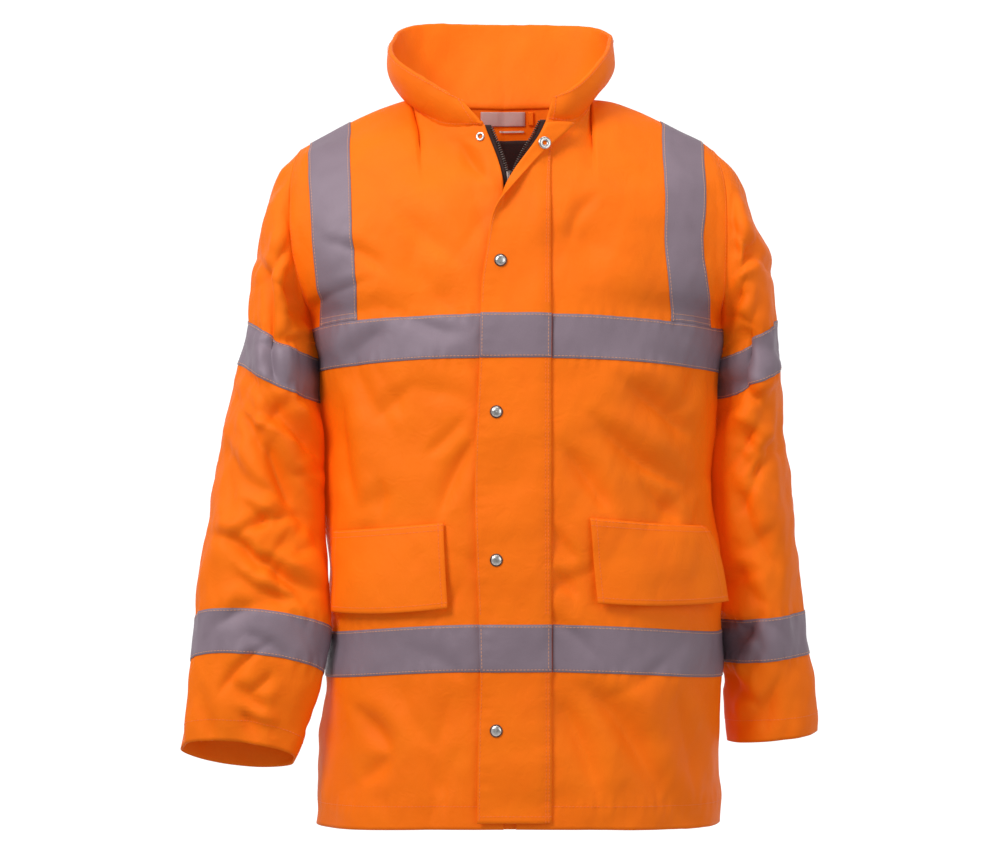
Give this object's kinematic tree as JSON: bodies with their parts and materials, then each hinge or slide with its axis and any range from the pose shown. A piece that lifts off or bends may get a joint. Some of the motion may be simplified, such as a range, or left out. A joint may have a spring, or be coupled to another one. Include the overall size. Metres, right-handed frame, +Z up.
{
  "type": "hi-vis work jacket",
  "caption": "Hip-length hi-vis work jacket with a tall collar, covered zip front, press studs, pocket flaps and reflective tape, filled out as worn.",
  "frame": {"origin": "at the height of the back neck seam, midway between the front and the back of the neck, where the wearer's neck and shoulders hold it", "axes": "+Z up, front faces -Y, +X is the wearer's left"},
  "size_m": [0.7019, 0.2861, 0.9017],
  "materials": {
    "orange_cloth": "coated plain-weave polyester, fluorescent orange, low sheen",
    "reflective_tape": "glass-bead reflective tape, grey, fine sheen",
    "dark_cloth": "dark brown-black woven zip tape and lining",
    "stud_metal": "bright silver press studs",
    "label_cloth": "bare woven label"
  },
  "bodies": {
    "root": {"front_right": "orange_cloth", "front_left": "orange_cloth", "back": "orange_cloth", "sleeve_right_under": "orange_cloth", "sleeve_right_top": "orange_cloth", "sleeve_left_under": "orange_cloth", "sleeve_left_top": "orange_cloth", "collar": "orange_cloth", "storm_flap": "orange_cloth", "pocket_flap_right": "orange_cloth", "pocket_flap_left": "orange_cloth", "hanger_loop": "orange_cloth", "chest_tape_front_right": "reflective_tape", "chest_tape_front_left": "reflective_tape", "chest_tape_back": "reflective_tape", "chest_tape_storm_flap": "reflective_tape", "waist_tape_front_right": "reflective_tape", "waist_tape_front_left": "reflective_tape", "waist_tape_back": "reflective_tape", "waist_tape_storm_flap": "reflective_tape", "brace_right": "reflective_tape", "brace_left": "reflective_tape", "sleeve_tape_upper_right": "reflective_tape", "sleeve_tape_lower_right": "reflective_tape", "sleeve_tape_upper_left": "reflective_tape", "sleeve_tape_lower_left": "reflective_tape", "zip_tape_right": "dark_cloth", "zip_tape_left": "dark_cloth", "lining_back": "dark_cloth", "stud_cap_1": "stud_metal", "stud_cap_2": "stud_metal", "stud_cap_3": "stud_metal", "stud_cap_4": "stud_metal", "stud_post": "stud_metal", "stud_socket": "stud_metal", "zip_slider": "stud_metal", "label": "label_cloth"}
  },
  "joints": []
}
